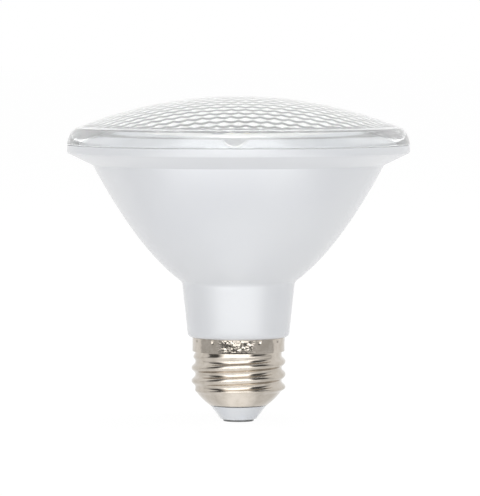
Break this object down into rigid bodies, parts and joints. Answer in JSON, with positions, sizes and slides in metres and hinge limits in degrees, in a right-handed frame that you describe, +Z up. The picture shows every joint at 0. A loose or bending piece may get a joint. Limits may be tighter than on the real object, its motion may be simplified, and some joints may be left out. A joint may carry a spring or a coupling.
{
  "type": "par spotlight bulb",
  "caption": "Short-neck reflector lamp with a pebbled clear domed lens, a white bowl-shaped body and a medium screw base.",
  "frame": {"origin": "middle of the centre contact's lower face, the lowest point of the screw base", "axes": "+Z up the lamp's axis, from the screw base to the lens; -Y is the front, where the lens's gate lug sits"},
  "size_m": [0.0952, 0.0952, 0.0905],
  "materials": {
    "clear_polycarbonate": "clear, moulded, glossy",
    "white_housing_plastic": "satin, moulded",
    "white_reflector_plastic": "satin, moulded",
    "nickel_plated_sheet": "nickel-plated brass, drawn and rolled",
    "insulator_ceramic_white": "glossy, moulded",
    "contact_nickel": "nickel-plated brass, pressed",
    "silicone_bead": "matte, cast in place",
    "sink_aluminium": "pressed",
    "thermal_pad_grey": "matte, sheet",
    "white_board_mask": "printed board mask",
    "screw_steel": "zinc-plated",
    "led_body_plastic": "moulded",
    "phosphor_silicone": "dispensed",
    "terminal_plastic": "moulded",
    "green_board": "glass-epoxy board",
    "ferrite": "sintered",
    "bobbin_plastic": "moulded",
    "winding_tape": "taped winding",
    "copper_winding": "enamelled wire",
    "can_sleeve": "shrunk sleeve",
    "film_case": "dipped",
    "chip_epoxy": "moulded",
    "varistor_coat": "dipped",
    "resistor_coat": "lacquered",
    "red_insulation": "extruded",
    "black_insulation": "extruded",
    "white_insulation": "extruded"
  },
  "bodies": {
    "root": {"lens_cover": "clear_polycarbonate", "housing": "white_housing_plastic", "screw_shell": "nickel_plated_sheet", "base_insulator": "insulator_ceramic_white", "centre_contact": "contact_nickel", "lens_gasket": "silicone_bead", "reflector": "white_reflector_plastic", "heat_sink": "sink_aluminium", "thermal_pad": "thermal_pad_grey", "led_board": "white_board_mask", "board_screws": "screw_steel", "lead_terminals": "terminal_plastic", "driver_board": "green_board", "led_packages": "led_body_plastic", "led_phosphors": "phosphor_silicone", "transformer_core": "ferrite", "transformer_bobbin": "bobbin_plastic", "transformer_winding": "winding_tape", "input_capacitor": "can_sleeve", "output_capacitor": "can_sleeve", "film_capacitor": "film_case", "choke_core": "ferrite", "choke_winding": "copper_winding", "bridge_rectifier": "chip_epoxy", "driver_chip": "chip_epoxy", "output_diode": "chip_epoxy", "surge_varistor": "varistor_coat", "fusible_resistor": "resistor_coat", "chip_resistors": "chip_epoxy", "positive_lead": "red_insulation", "negative_lead": "black_insulation", "live_lead": "black_insulation", "neutral_lead": "white_insulation"}
  },
  "joints": []
}
